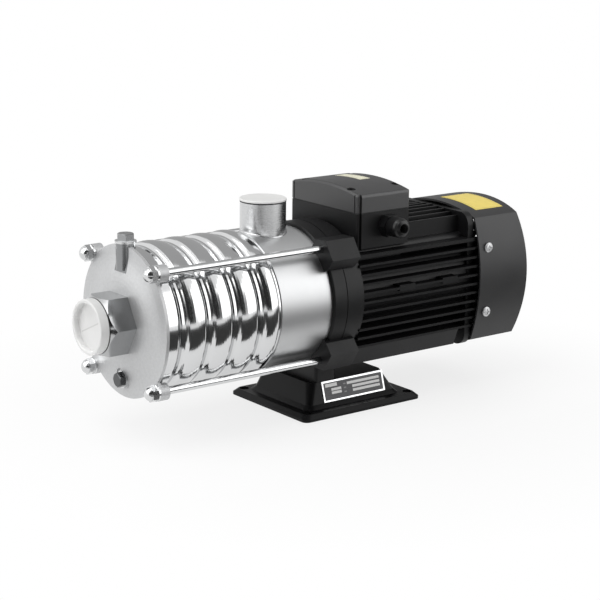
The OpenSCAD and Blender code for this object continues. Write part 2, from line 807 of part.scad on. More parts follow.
module lantern() {
    in_r = lantern_r - lantern_wall;
    rear_r = bearing_hub_r;
    seat_r = front_bearing_r + seat_gap;
    seat_x = front_bearing_x;
    color(black) difference() {
        union() {
            turned(x_lantern, [[lantern_r - 11, 0], [lantern_r - 1, 0], [lantern_r, 1],
                [lantern_r, ring_len], [lantern_r - line_w, ring_len],
                [lantern_r - line_w, ring_len + line_w], [lantern_r, ring_len + line_w],
                [lantern_r, lantern_len], [in_r, lantern_len],
                [in_r, hub_wall_x + 4], [rear_r, hub_wall_x + 4],
                [rear_r, front_bearing_x + front_bearing_len], [seat_r, seat_x + front_bearing_len],
                [seat_r, seat_x], [front_journal_r + 1, seat_x], [front_journal_r + 1, hub_wall_x],
                [lantern_r - 11, hub_wall_x]]);
            for (a = [0, 1], b = [0, 1])
                run_section(x_lantern - ear_ahead, ear_ahead + ear_back)
                    mirror([a, 0]) mirror([0, b]) ear_section();
            leg_block(in_r + 2);
        }
        on_shaft(x_lantern - ear_ahead - 1)
            cylinder(r = chamber_d / 2 + slide_gap, h = ear_ahead + 1);
        on_shaft(x_lantern - 1) cylinder(r = lantern_r - 11, h = hub_wall_x + 1);
        on_shaft(x_lantern + hub_wall_x + 4) ring(in_r, rear_r, lantern_len);
        on_shaft(x_motor) cylinder(r = front_flange_r + slide_gap, h = leg_len);
        at_rods(x_lantern - ear_ahead - 1)
            cylinder(d = rod_d + 2 * screw_gap, h = ear_bolt_depth + 1);
        for (y = [-foot_bolt_y, foot_bolt_y])
            translate([leg_x + leg_len / 2, y, pan_h - 1])
                cylinder(r = foot_bolt_r + screw_gap, h = foot_bolt_grip + 3);
    }
}

// Thin slab of the foot at a height, set in from the flange's front, rear and sides.
module foot_slab(z, front, rear, side, r, inset) {
    slab = 0.01;
    translate([(front - rear) / 2, 0, z - slab]) linear_extrude(slab)
        rounded_plate(foot_len - front - rear - 2 * inset, foot_w - 2 * side - 2 * inset, r, $fn = 32);
}

// Solid form of the foot: a flange with a sloped edge, a flared skirt and a tapered block.
module pan_form(inset) {
    skirt_z = flange_h + skirt_h;
    translate([0, 0, -inset]) {
        linear_extrude(foot_edge_h)
            rounded_plate(foot_len - 2 * inset, foot_w - 2 * inset, foot_corner_r, $fn = 32);
        hull() {
            foot_slab(foot_edge_h, 0, 0, 0, foot_corner_r, inset);
            foot_slab(flange_h, flange_slope, flange_slope, flange_slope, foot_corner_r, inset);
        }
        hull() {
            foot_slab(flange_h, base_front - skirt_out, base_rear - skirt_out, base_side - skirt_out,
                block_corner_r, inset);
            foot_slab(skirt_z, base_front, base_rear, base_side, foot_corner_r, inset);
        }
        hull() {
            foot_slab(skirt_z, base_front, base_rear, base_side, foot_corner_r, inset);
            foot_slab(pan_h, top_front, top_rear, top_side, block_corner_r, inset);
        }
    }
}

module at_foot_holes(r) {
    for (x = [-1, 1], y = [-1, 1])
        translate([x * foot_hole_x / 2, y * foot_hole_y / 2, -pan_t - 1])
            cylinder(r = r, h = flange_h + pan_t + 3);
}

module foot_pan() {
    color(black) difference() {
        pan_form(0);
        difference() {
            pan_form(pan_t);
            at_foot_holes(foot_hole_d / 2 + hole_pad_w);
        }
        at_foot_holes(foot_hole_d / 2);
        for (y = [-foot_bolt_y, foot_bolt_y])
            translate([leg_x + leg_len / 2, y, pan_h - 2 * pan_t])
                cylinder(r = foot_bolt_r + slide_gap, h = 3 * pan_t);
    }
}

module foot_bolts() {
    color(polished) for (y = [-foot_bolt_y, foot_bolt_y])
        translate([leg_x + leg_len / 2, y, pan_h - pan_t - foot_bolt_head]) {
            hex_bar(foot_bolt_af, foot_bolt_head);
            cylinder(r = foot_bolt_r, h = foot_bolt_head + pan_t + foot_bolt_grip);
        }
}

module data_plate() {
    base_z = flange_h + skirt_h;
    lean = atan((top_side - base_side) / (pan_h - base_z));
    y_mid = foot_w / 2 - (top_side + base_side) / 2;
    color(polished) translate([plate_off, -y_mid, (pan_h + base_z) / 2]) rotate([-lean, 0, 0])
        translate([-plate_len / 2, -plate_t, -plate_w / 2]) cube([plate_len, plate_t, plate_w]);
}

// How far a fin at height z may reach sideways under the fan cover, and one at y upwards.
function side_reach(z) = side_c + sqrt(pow(side_r - fin_inset, 2) - pow(z, 2));
function top_reach(y) = top_c + sqrt(pow(side_r - fin_inset, 2) - pow(y, 2));

module side_fin_sections() {
    root = 30;
    for (side = [-1, 1], k = [0:side_fins - 1]) {
        z = side_fin_top - k * fin_pitch;
        reach = side_reach(abs(z) + fin_t / 2);
        translate([side > 0 ? root : -reach, z - fin_t / 2]) square([reach - root, fin_t]);
    }
}

module top_fin_sections() {
    for (k = [0:top_fins - 1]) {
        y = (k - (top_fins - 1) / 2) * top_fin_pitch;
        z = top_reach(abs(y) + fin_t / 2);
        translate([y - fin_t / 2, 30]) square([fin_t, z - 30]);
    }
}

module shelf_section() {
    reach = side_reach(shelf_z + shelf_t);
    for (side = [-1, 1]) translate([side > 0 ? 20 : -reach, shelf_z]) square([reach - 20, shelf_t]);
}

// Rails under the housing, which take in the tips of the lowest fins.
module rail_section() {
    tip = side_fin_top - (side_fins - 1) * fin_pitch;
    reach = side_reach(abs(tip) + fin_t / 2);
    for (side = [0, 1]) mirror([side, 0])
        polygon([[rail_y, -30], [rail_y, -rail_bottom], [rail_y + rail_w, -rail_bottom],
            [reach, tip - fin_t / 2], [reach, tip + fin_t / 2], [rail_y + rail_w / 2, tip + fin_t / 2],
            [rail_y + rail_w / 2, -30]]);
}

// Thick places on one fin of each side.
module fin_pads() {
    z = side_fin_top - pad_fin * fin_pitch;
    reach = side_reach(z + pad_h / 2);
    for (side = [-1, 1], n = [0, 1])
        translate([pad_x + n * pad_step, side > 0 ? 30 : -reach, shaft_height + z - pad_h / 2])
            cube([pad_len, reach - 30, pad_h]);
}

module bottom_fin_sections() {
    for (k = [0:bottom_fins - 1])
        translate([(k - (bottom_fins - 1) / 2) * top_fin_pitch - fin_t / 2, -rail_bottom + 1])
            square([fin_t, rail_bottom - 30]);
}

module motor_housing() {
    fin_start = x_motor + front_flange_len;
    top_start = x_box + box_len + 2;
    color(black) difference() {
        union() {
            run_section(x_motor, housing_len) {
                circle(core_r);
                for (y = [-tie_y, tie_y], z = [-tie_y, tie_y]) translate([y, z]) circle(tie_boss_r);
            }
            on_shaft(x_motor) cylinder(r = front_flange_r, h = front_flange_len);
            run_section(fin_start - 1, x_housing_end - fin_start + 1) {
                side_fin_sections();
                shelf_section();
            }
            run_section(top_start, x_housing_end - top_fin_short - top_start) top_fin_sections();
            run_section(fin_start - 1, rail_len) bottom_fin_sections();
            run_section(fin_start - 1, rail_len) rail_section();
            fin_pads();
            run_section(x_cover - running_gap - rear_flange_len, rear_flange_len)
                rounded_plate(rear_flange_w, rear_flange_h, rear_flange_r);
            run_section(x_box + box_wall + 1.5, box_len - 2 * box_wall - 3)
                translate([-saddle_w / 2, 20]) square([saddle_w, floor_z - 20]);
        }
        on_shaft(x_motor - 1) cylinder(r = stator_r + seat_gap, h = housing_len + 2);
        for (y = [-tie_y, tie_y], z = [-tie_y, tie_y])
            translate([x_housing_end - 20, y, shaft_height + z]) rotate([0, 90, 0])
                cylinder(r = tie_bolt_r + screw_gap, h = 21);
    }
}

module stator_core() {
    color(iron) on_shaft(x_motor + stator_x) difference() {
        ring(stator_r, stator_bore_d / 2, stator_len);
        for (k = [0:slot_count - 1]) rotate([0, 0, k * 360 / slot_count])
            translate([stator_bore_d / 2 + 2, -1.8, -1]) cube([9, 3.6, stator_len + 2]);
    }
}

module winding_heads() {
    low = stator_bore_d / 2 + 2.5;
    high = low + 11;
    section = [[low + 1, 0], [high - 1, 0], [high, 3], [high, winding_len - 3],
        [high - 3, winding_len], [low + 3, winding_len], [low, winding_len - 3], [low, 3]];
    color(copper) {
        turned(x_motor + stator_x + stator_len, section);
        translate([2 * (x_motor + stator_x), 0, 0]) mirror([1, 0, 0])
            turned(x_motor + stator_x, section);
    }
}

module rotor_core() {
    r = stator_bore_d / 2 - air_gap;
    color(iron) on_shaft(x_motor + stator_x) difference() {
        union() {
            cylinder(r = r, h = stator_len);
            translate([0, 0, -end_ring_len]) ring(r - 1.5, r - 10, stator_len + 2 * end_ring_len);
        }
        translate([0, 0, -1]) cylinder(r = shoulder_r + seat_gap, h = stator_len + 2);
    }
}

module rear_shield() {
    hub_r = rear_bearing_r + 5;
    bearing_x = x_rear_bearing - x_housing_end;
    lug_r = 4.5;
    lug_y = cover_wall_y(cover_screw_z + lug_r) - slide_gap;
    color(black) difference() {
        union() {
            on_shaft(x_housing_end) cylinder(r = shield_r, h = shield_t);
            on_shaft(x_housing_end + bearing_x - 3)
                cylinder(r = hub_r, h = rear_bearing_len + 3 + 3);
            for (z = [-cover_screw_z, cover_screw_z])
                translate([x_cover + cover_screw_x, -lug_y, shaft_height + z]) rotate([-90, 0, 0])
                    cylinder(r = lug_r, h = 2 * lug_y);
        }
        on_shaft(x_rear_bearing) cylinder(r = rear_bearing_r + seat_gap, h = rear_bearing_len);
        on_shaft(x_rear_bearing - 4) cylinder(r = shoulder_r + 1, h = rear_bearing_len + 12);
        on_shaft(x_housing_end + shield_t) ring(lug_y - 5, hub_r, 2 * lug_r);
        for (y = [-tie_y, tie_y], z = [-tie_y, tie_y])
            translate([x_housing_end - 1, y, shaft_height + z]) rotate([0, 90, 0])
                cylinder(r = tie_bolt_r + screw_gap, h = shield_t + 2);
        for (z = [-cover_screw_z, cover_screw_z])
            translate([x_cover + cover_screw_x, -lug_y - 1, shaft_height + z]) rotate([-90, 0, 0])
                cylinder(r = cover_screw_r + screw_gap, h = 2 * lug_y + 2);
    }
}

module shield_bolts() {
    color(polished) for (y = [-tie_y, tie_y], z = [-tie_y, tie_y])
        translate([x_housing_end - tie_bolt_grip, y, shaft_height + z]) rotate([0, 90, 0]) {
            cylinder(r = tie_bolt_r, h = tie_bolt_grip + shield_t + 1);
            translate([0, 0, tie_bolt_grip + shield_t]) rotate([0, 0, 30])
                hex_bar(tie_bolt_af, tie_bolt_head);
        }
}

// One ball bearing's size: its ends along the shaft, its rings and its balls.
function ball_r(inner, outer) = (outer - inner) * 0.29;
module bearing_ring(x, len, r0, r1, inner, outer) {
    mid = (inner + outer) / 2;
    on_shaft(x) difference() {
        ring(r1, r0, len);
        translate([0, 0, len / 2]) rotate_extrude() translate([mid, 0])
            circle(ball_r(inner, outer) + running_gap, $fn = 32);
    }
}
front_in = front_journal_r + seat_gap;
rear_in = rear_journal_r + seat_gap;

module bearing_outer_rings() {
    color(polished) {
        bearing_ring(x_lantern + front_bearing_x, front_bearing_len, front_bearing_r - 4,
            front_bearing_r, front_in, front_bearing_r);
        bearing_ring(x_rear_bearing, rear_bearing_len, rear_bearing_r - 3,
            rear_bearing_r, rear_in, rear_bearing_r);
    }
}

module bearing_inner_rings() {
    color(polished) {
        bearing_ring(x_lantern + front_bearing_x, front_bearing_len, front_in,
            front_journal_r + 4, front_in, front_bearing_r);
        bearing_ring(x_rear_bearing, rear_bearing_len, rear_in,
            rear_journal_r + 3, rear_in, rear_bearing_r);
    }
}

module balls(x, inner, outer, count) {
    on_shaft(x) for (k = [0:count - 1]) rotate([0, 0, k * 360 / count])
        translate([(inner + outer) / 2, 0, 0]) sphere(ball_r(inner, outer), $fn = 32);
}

module bearing_balls() {
    color(polished) {
        balls(x_lantern + front_bearing_x + front_bearing_len / 2, front_in, front_bearing_r, 8);
        balls(x_rear_bearing + rear_bearing_len / 2, rear_in, rear_bearing_r, 7);
    }
}

// Bulged square form of the fan cover, drawn in by inset.
module cover_form(x, len, inset) {
    intersection() {
        translate([x, side_c, shaft_height]) rotate([0, 90, 0]) cylinder(r = side_r - inset, h = len);
        translate([x, -side_c, shaft_height]) rotate([0, 90, 0]) cylinder(r = side_r - inset, h = len);
        translate([x, 0, shaft_height + top_c]) rotate([0, 90, 0])
            cylinder(r = side_r - inset, h = len);
        translate([x, 0, shaft_height - top_c]) rotate([0, 90, 0])
            cylinder(r = side_r - inset, h = len);
        translate([x_dome, 0, shaft_height]) sphere(dome_r - inset);
    }
}
function cover_wall_y(z) = side_c + sqrt(pow(side_r - fan_cover_t, 2) - pow(z, 2));

// Rings of slots between spokes, through the back of the fan cover.
module back_slots(x, len) {
    difference() {
        on_shaft(x) for (k = [0:slot_rings - 1])
            ring(slot_first + k * slot_step + slot_w / 2, slot_first + k * slot_step - slot_w / 2, len);
        for (a = [0:60:120]) translate([x - 1, 0, shaft_height]) rotate([a + 30, 0, 0])
            translate([0, -spoke_w / 2, -fan_cover_h]) cube([len + 2, spoke_w, 2 * fan_cover_h]);
    }
}

module fan_cover() {
    depth = dome_r + x_dome - x_cover + 5;
    color(dark) difference() {
        cover_form(x_cover, depth, 0);
        cover_form(x_cover - 1, depth, fan_cover_t);
        back_slots(x_cover + fan_cover_len - 6, 30);
        for (z = [-cover_screw_z, cover_screw_z])
            translate([x_cover + cover_screw_x, -fan_cover_w / 2 - 1, shaft_height + z])
                rotate([-90, 0, 0]) cylinder(r = cover_screw_r + slide_gap, h = fan_cover_w + 2);
    }
}

// A pan-head screw with a cross recess, pointing down Z with its seat at the origin.
module pan_screw(r, head_r, head_t, len) {
    difference() {
        union() {
            translate([0, 0, -len]) cylinder(r = r, h = len + 0.5);
            rotate_extrude($fn = 48) polygon([[0, 0], [head_r, 0], [head_r, head_t * 0.4],
                [head_r * 0.8, head_t * 0.85], [head_r * 0.4, head_t], [0, head_t]]);
        }
        for (a = [0, 90]) rotate([0, 0, a])
            translate([-head_r * 0.55, -head_r * 0.11, head_t * 0.35])
                cube([head_r * 1.1, head_r * 0.22, head_t]);
    }
}

module fan_cover_screws() {
    seat_y = side_c + sqrt(pow(side_r, 2) - pow(cover_screw_z - cover_screw_head_r, 2));
    color(polished) for (side = [-1, 1], z = [-cover_screw_z, cover_screw_z])
        translate([x_cover + cover_screw_x, side * seat_y, shaft_height + z])
            rotate([side > 0 ? -90 : 90, 0, 0])
                pan_screw(cover_screw_r, cover_screw_head_r, cover_screw_head_t, 11);
}

module cooling_fan() {
    color(dark) on_shaft(x_fan) difference() {
        union() {
            cylinder(d = fan_d - 14, h = fan_disc_t);
            cylinder(r = fan_hub_r, h = fan_blade_w);
            for (k = [0:blade_count - 1]) rotate([0, 0, k * 360 / blade_count])
                translate([fan_hub_r - 1, -1, 0]) cube([fan_d / 2 - fan_hub_r + 1, 2, fan_blade_w]);
        }
        translate([0, 0, -1]) cylinder(r = fan_seat_r + seat_gap, h = fan_blade_w + 2);
    }
}

// Places of the four lid screws.
module at_columns() {
    for (x = [column_end_in, box_len - column_end_in], side = [-1, 1])
        translate([x_box + x, side * (box_w / 2 - column_side_in), shaft_height]) children();
}

module box_prism(z, h, inset, r) {
    translate([x_box + box_len / 2, 0, shaft_height + z]) linear_extrude(h)
        rounded_plate(box_len - 2 * inset, box_w - 2 * inset, r);
}

// Upright grooves beside the two front corners.
module corner_grooves(z, h) {
    for (side = [-1, 1])
        translate([x_box + groove_in, side > 0 ? box_w / 2 - groove_deep : -box_w / 2 - 1,
            shaft_height + z]) cube([groove_w, groove_deep + 1, h]);
}

module terminal_box() {
    top = box_z + box_h;
    color(black) difference() {
        union() {
            difference() {
                box_prism(box_z, box_h, 0, box_corner_r);
                box_prism(floor_z + floor_t, box_h, box_wall, box_inner_r);
                box_prism(box_z - 1, floor_z - box_z + 1, box_wall, box_inner_r);
            }
            at_columns()
                translate([0, 0, floor_z]) cylinder(r = column_r, h = top - floor_z);
        }
        on_shaft(x_box - 1) cylinder(r = core_r + slide_gap, h = box_len + 2);
        for (y = [-tie_y, tie_y]) translate([x_box - 1, y, shaft_height + tie_y]) rotate([0, 90, 0])
            cylinder(r = tie_boss_r + slide_gap, h = box_len + 2);
        corner_grooves(box_z - 1, box_h + 2);
        at_columns() translate([0, 0, top - lid_screw_grip - 3])
            cylinder(r = lid_screw_r + screw_gap, h = lid_screw_grip + 4);
        translate([gland_x, -box_w / 2 - 1, shaft_height + gland_z]) rotate([-90, 0, 0])
            cylinder(r = gland_thread_r + screw_gap, h = box_wall + 3);
        translate([x_box + box_len / 2, 0, shaft_height + floor_z - 1])
            cylinder(r = 7, h = floor_t + 2);
    }
}

module box_gasket() {
    color(rubber) difference() {
        box_prism(box_z + box_h, gasket_t, gasket_in, box_corner_r - gasket_in);
        box_prism(box_z + box_h - 1, gasket_t + 2, box_wall + 1, box_inner_r - 1);
        corner_grooves(box_z + box_h - 1, gasket_t + 2);
        at_columns() translate([0, 0, box_z + box_h - 1])
            cylinder(r = lid_screw_r + slide_gap, h = gasket_t + 2);
    }
}

// Bar along the box whose top is the crown of the lid, with rounded ends.
module lid_crown() {
    len = box_len + 0.4;
    translate([x_box - 0.2, 0, shaft_height + lid_axis_z]) rotate([0, 90, 0]) rotate_extrude($fn = 192) {
        translate([0, lid_end_r]) square([lid_r, len - 2 * lid_end_r]);
        square([lid_r - lid_end_r, len]);
        for (z = [lid_end_r, len - lid_end_r]) translate([lid_r - lid_end_r, z]) circle(lid_end_r);
    }
}

// Bar along the box that rounds the lid's long edges, as (y, z) about the shaft.
module lid_edges() {
    y = box_w / 2 - lid_edge_r;
    z = lid_axis_z + sqrt(pow(lid_r - lid_edge_r + 0.25, 2) - pow(y, 2));
    run_section(x_box - 1, box_len + 2) {
        translate([-box_w / 2, lid_z - 1]) square([box_w, z - lid_z + 1]);
        translate([-y, lid_z - 1]) square([2 * y, lid_h + 2 * lid_rise]);
        for (side = [-1, 1]) translate([side * y, z]) circle(lid_edge_r);
    }
}

module lid_outside() {
    intersection() {
        box_prism(lid_z, lid_h + lid_rise + 1, 0, box_corner_r);
        lid_crown();
        lid_edges();
    }
}

module lid_inside() {
    intersection() {
        box_prism(lid_z - 1, lid_h + lid_rise + 1, box_wall, box_inner_r);
        translate([x_box, 0, shaft_height + lid_axis_z]) rotate([0, 90, 0])
            cylinder(r = lid_r - box_wall, h = box_len, $fn = 192);
    }
}

module box_lid() {
    color(black) difference() {
        union() {
            difference() {
                lid_outside();
                lid_inside();
            }
            intersection() {
                lid_outside();
                at_columns() translate([0, 0, lid_z]) cylinder(r = column_r, h = lid_h + lid_rise);
            }
        }
        corner_grooves(lid_z - 1, lid_h + lid_rise + 2);
        for (side = [-1, 1])
            translate([x_box - 1, side * (box_w / 2 - line_groove_in) - line_groove_w / 2,
                shaft_height + lid_z - 1])
                cube([line_groove_deep + 1, line_groove_w, lid_h + lid_rise + 2]);
        at_columns() translate([0, 0, lid_z + lid_pocket_floor])
            cylinder(r = lid_pocket_r, h = lid_h + lid_rise);
        at_columns() translate([0, 0, lid_z - 1])
            cylinder(r = lid_screw_r + slide_gap, h = lid_pocket_floor + 2);
    }
}

module lid_screws() {
    color(polished) at_columns() translate([0, 0, lid_z + lid_pocket_floor])
        pan_screw(lid_screw_r, lid_pocket_r - 0.4, lid_screw_head,
            lid_pocket_floor + gasket_t + lid_screw_grip);
}

module terminal_block() {
    color([0.85, 0.84, 0.80]) translate([x_box + box_len / 2 + 4, 0, shaft_height + floor_z + floor_t]) {
        translate([-block_w / 2 + 8, -block_len / 2, 0]) cube([block_w, block_len, block_h * 0.6]);
        for (k = [-1.5, -0.5, 0.5, 1.5]) translate([-block_w / 2 + 8, k * stud_pitch * 0.95 - 0.75, 0])
            cube([block_w, 1.5, block_h]);
    }
}

module terminal_studs() {
    foot_z = shaft_height + floor_z + floor_t + block_h * 0.6;
    color(brass) for (k = [-1:1], x = [-6, 6])
        translate([x_box + box_len / 2 + 12 + x - block_w / 2 + 11, k * stud_pitch * 0.95, foot_z]) {
            cylinder(r = stud_r, h = stud_h, $fn = 32);
            hex_bar(7, 1.6);
        }
}

module gland_body() {
    color(black) translate([gland_x, -box_w / 2, shaft_height + gland_z]) rotate([90, 0, 0])
        difference() {
            union() {
                hex_bar(gland_af, gland_hex_len);
                translate([0, 0, -box_wall - 1.5]) cylinder(r = gland_thread_r, h = box_wall + 2.5);
                cylinder(r = gland_thread_r, h = gland_hex_len + gland_neck_len);
            }
            translate([0, 0, -box_wall - 4])
                cylinder(d = cable_d + 1.6, h = gland_hex_len + gland_neck_len + box_wall + 5);
        }
}
gland_nut_start = gland_hex_len + 0.3;

module gland_nut() {
    end = gland_nut_start + gland_nut_len;
    hole_r = cable_d / 2 + 0.3;
    bore_r = gland_thread_r + screw_gap;
    color(black) translate([gland_x, -box_w / 2, shaft_height + gland_z]) rotate([90, 0, 0])
        rotate_extrude() polygon([[bore_r, gland_nut_start], [gland_nut_r, gland_nut_start],
            [gland_nut_r, end - 5.5], [gland_nut_r - 0.5, end - 3.2], [gland_nut_r - 1.8, end - 1.3],
            [gland_nut_r - 3.6, end - 0.3], [hole_r + 0.6, end], [hole_r, end - 0.6],
            [hole_r, end - gland_wall], [bore_r, end - gland_wall]]);
}

module gland_seal() {
    start = gland_hex_len + gland_neck_len;
    end = gland_nut_start + gland_nut_len - gland_wall;
    color(rubber) translate([gland_x, -box_w / 2, shaft_height + gland_z]) rotate([90, 0, 0])
        translate([0, 0, start]) ring(gland_thread_r - 0.2, cable_d / 2, end - start);
}

module priming_washer() {
    color(polished) translate([boss_x, 0, shaft_height + boss_top])
        ring(priming_washer_d / 2, priming_bore_d / 2 + slide_gap, washer_t);
}

module priming_plug() {
    color(polished) translate([boss_x, 0, shaft_height + boss_top])
        threaded_plug(priming_af, priming_hex_h, priming_bore_d);
}

// A plug with its washer's seat at the origin: the hexagon above, the thread below.
module threaded_plug(af, hex_h, bore) {
    corner_r = af / 2 / cos(30);
    intersection() {
        translate([0, 0, washer_t]) hex_bar(af, hex_h);
        rotate_extrude($fn = 48) polygon([[0, 0], [corner_r + 1, 0], [corner_r + 1, washer_t + hex_h - 1.6],
            [af / 2 - 0.6, washer_t + hex_h], [0, washer_t + hex_h]]);
    }
    translate([0, 0, -plug_len]) cylinder(r = bore / 2 - plug_gap, h = plug_len + washer_t + 0.5);
}

module drain_washer() {
    color(polished) translate([x_face - drain_pad_h, 0, shaft_height - drain_drop])
        rotate([0, -90, 0]) ring(drain_washer_d / 2, drain_bore_d / 2 + slide_gap, washer_t);
}

module drain_plug() {
    color(polished) translate([x_face - drain_pad_h, 0, shaft_height - drain_drop])
        rotate([0, -90, 0]) threaded_plug(drain_af, drain_hex_h, drain_bore_d);
}

module suction_cap() {
    r = suction_cap_d / 2;
    depth = hex_len + cover_t - suction_thread_len - cap_spigot_short;
    spigot_r = suction_seat_r - slide_gap;
    rim = suction_cap_rim_w;
    top = suction_cap_t;
    round_r = 1.2;
    color(white) translate([x_face - dish_h - hex_len - slide_gap, 0, shaft_height])
        rotate([0, -90, 0]) rotate_extrude() polygon(concat(
            [[0, 0], [spigot_r - cap_spigot_t, 0], [spigot_r - cap_spigot_t, -depth],
             [spigot_r, -depth], [spigot_r, 0], [r, 0]],
            [for (a = [0:15:90]) [r - round_r + round_r * cos(a), top - round_r + round_r * sin(a)]],
            [for (a = [90:15:180]) [r - rim + round_r + round_r * cos(a), top - round_r + round_r * sin(a)]],
            [[r - rim, suction_cap_panel_t], [0, suction_cap_panel_t]]));
}

module discharge_cap() {
    r = port_d / 2 + 0.4;
    depth = port_seat_len() - cap_spigot_short;
    spigot_r = port_seat_r - slide_gap;
    color(white) translate([x_port, 0, shaft_height + port_h + slide_gap]) rotate_extrude()
        polygon([[0, 0], [spigot_r - cap_spigot_t, 0], [spigot_r - cap_spigot_t, -depth],
            [spigot_r, -depth], [spigot_r, 0], [r, 0], [r, port_cap_t - 0.5],
            [r - 0.5, port_cap_t], [0, port_cap_t]]);
}

suction_cover();
suction_nipple();
inlet_shell();
stage_casing(1);  // stage_casing_1
stage_casing(2);  // stage_casing_2
stage_casing(3);  // stage_casing_3
stage_casing(4);  // stage_casing_4
guide_wheel(1);  // guide_wheel_1
guide_wheel(2);  // guide_wheel_2
guide_wheel(3);  // guide_wheel_3
guide_wheel(4);  // guide_wheel_4
neck_rings();
casing_seals();
discharge_chamber();
discharge_tube();
seal_cover();
seal_seat();
tie_rods();
dome_nuts();
rod_washers();
lantern();
foot_pan();
foot_bolts();
data_plate();
motor_housing();
stator_core();
winding_heads();
rear_shield();
shield_bolts();
bearing_outer_rings();
bearing_balls();
fan_cover();
fan_cover_screws();
terminal_box();
box_gasket();
box_lid();
lid_screws();
terminal_block();
terminal_studs();
gland_body();
gland_nut();
gland_seal();
priming_washer();
priming_plug();
drain_washer();
drain_plug();
suction_cap();
discharge_cap();
shaft();
impeller(1);  // impeller_1
impeller(2);  // impeller_2
impeller(3);  // impeller_3
impeller(4);  // impeller_4
spacer_sleeves();
shaft_nut();
seal_head();
seal_spring();
rotor_core();
bearing_inner_rings();
cooling_fan();
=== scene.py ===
"""Looks, light and camera for the booster pump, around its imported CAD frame."""
import json
import math

import bpy
from mathutils import Matrix, Vector


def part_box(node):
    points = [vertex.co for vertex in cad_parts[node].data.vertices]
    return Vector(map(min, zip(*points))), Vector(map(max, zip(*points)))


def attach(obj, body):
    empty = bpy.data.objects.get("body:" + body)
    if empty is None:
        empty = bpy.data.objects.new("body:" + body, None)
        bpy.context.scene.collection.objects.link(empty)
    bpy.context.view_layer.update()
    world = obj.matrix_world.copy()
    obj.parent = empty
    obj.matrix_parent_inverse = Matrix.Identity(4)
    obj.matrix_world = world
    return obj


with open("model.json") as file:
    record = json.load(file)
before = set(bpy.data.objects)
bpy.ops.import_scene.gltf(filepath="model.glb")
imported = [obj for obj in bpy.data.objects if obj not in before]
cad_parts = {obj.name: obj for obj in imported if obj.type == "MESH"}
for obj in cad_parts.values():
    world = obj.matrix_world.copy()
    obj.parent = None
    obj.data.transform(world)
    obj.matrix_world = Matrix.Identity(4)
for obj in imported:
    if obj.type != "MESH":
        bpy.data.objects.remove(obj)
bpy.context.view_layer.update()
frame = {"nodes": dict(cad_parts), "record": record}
nodes = frame["nodes"]
scene = bpy.context.scene

# Lengths are in metres, and the shaft runs along X at a fixed height
MM = 0.001
SHAFT_Z = 106 * MM
BODY = "pump"


def half_width(node):
    """Half of a node's size across the shaft."""
    low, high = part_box(node)
    return (high[1] - low[1]) / 2


# Node helpers

# Detail and roughness of each kind of noise
CLOUDS = (4.0, 0.6)
LINES = (3.0, 0.6)
SKIN = (2.0, 0.5)
MOTTLE = (5.0, 0.7)

# Stretch of the grain: none, round the shaft, and round an upright tube
EVEN = (1.0, 1.0, 1.0)
ROUND_GRAIN = (60.0, 0.6, 0.6)
UP_GRAIN = (0.6, 0.6, 60.0)

# Most of a noise lies between its limits, which are stretched from 0 to 1
UNIT = (0.0, 1.0)
NOISE_LIMITS = (0.3, 0.7)

BUMP_STRENGTH = 0.5

# The Mix node's colour sockets, which share their names with others
MIX_A, MIX_B, MIX_RESULT = 6, 7, 2


def empty_tree(owner):
    owner.use_nodes = True
    owner.node_tree.nodes.clear()
    return owner.node_tree


def new_material(name):
    material = bpy.data.materials.new(name)
    tree = empty_tree(material)
    out = tree.nodes.new("ShaderNodeOutputMaterial")
    shader = tree.nodes.new("ShaderNodeBsdfPrincipled")
    tree.links.new(shader.outputs["BSDF"], out.inputs["Surface"])
    return material, tree, shader


def feed(tree, socket, value):
    """Give a socket another node's output, a colour or a number."""
    if hasattr(value, "node"):
        tree.links.new(value, socket)
    elif isinstance(value, tuple):
        socket.default_value = (*value, 1.0)
    else:
        socket.default_value = value


def coords(tree, stretch=EVEN):
    """Place in the part's own frame, stretched along its axes."""
    source = tree.nodes.new("ShaderNodeTexCoord")
    mapping = tree.nodes.new("ShaderNodeMapping")
    mapping.inputs["Scale"].default_value = stretch
    tree.links.new(source.outputs["Object"], mapping.inputs["Vector"])
    return mapping.outputs["Vector"]


def axis(tree, name):
    """One coordinate of the place in the part's own frame."""
    node = tree.nodes.new("ShaderNodeSeparateXYZ")
    tree.links.new(coords(tree), node.inputs[0])
    return node.outputs[name]


def noise(tree, kind, scale, stretch=EVEN):
    detail, rough = kind
    node = tree.nodes.new("ShaderNodeTexNoise")
    node.inputs["Scale"].default_value = scale
    node.inputs["Detail"].default_value = detail
    node.inputs["Roughness"].default_value = rough
    tree.links.new(coords(tree, stretch), node.inputs["Vector"])
    return node.outputs["Fac"]


def remap(tree, value, source=NOISE_LIMITS, target=UNIT):
    """Stretch a value from the source limits to the target limits."""
    node = tree.nodes.new("ShaderNodeMapRange")
    node.inputs["From Min"].default_value = source[0]
    node.inputs["From Max"].default_value = source[1]
    node.inputs["To Min"].default_value = target[0]
    node.inputs["To Max"].default_value = target[1]
    tree.links.new(value, node.inputs["Value"])
    return node.outputs["Result"]


def math_node(tree, kind, a, b):
    node = tree.nodes.new("ShaderNodeMath")
    node.operation = kind
    feed(tree, node.inputs[0], a)
    feed(tree, node.inputs[1], b)
    return node.outputs[0]


def mix_colour(tree, factor, a, b):
    node = tree.nodes.new("ShaderNodeMix")
    node.data_type = "RGBA"
    tree.links.new(factor, node.inputs[0])
    feed(tree, node.inputs[MIX_A], a)
    feed(tree, node.inputs[MIX_B], b)
    return node.outputs[MIX_RESULT]


def cloudy(tree, tint, colour, shade):
    """Colour where tint is 1, and its darker shade where tint is 0."""
    return mix_colour(tree, tint, tuple(c * shade for c in colour), colour)


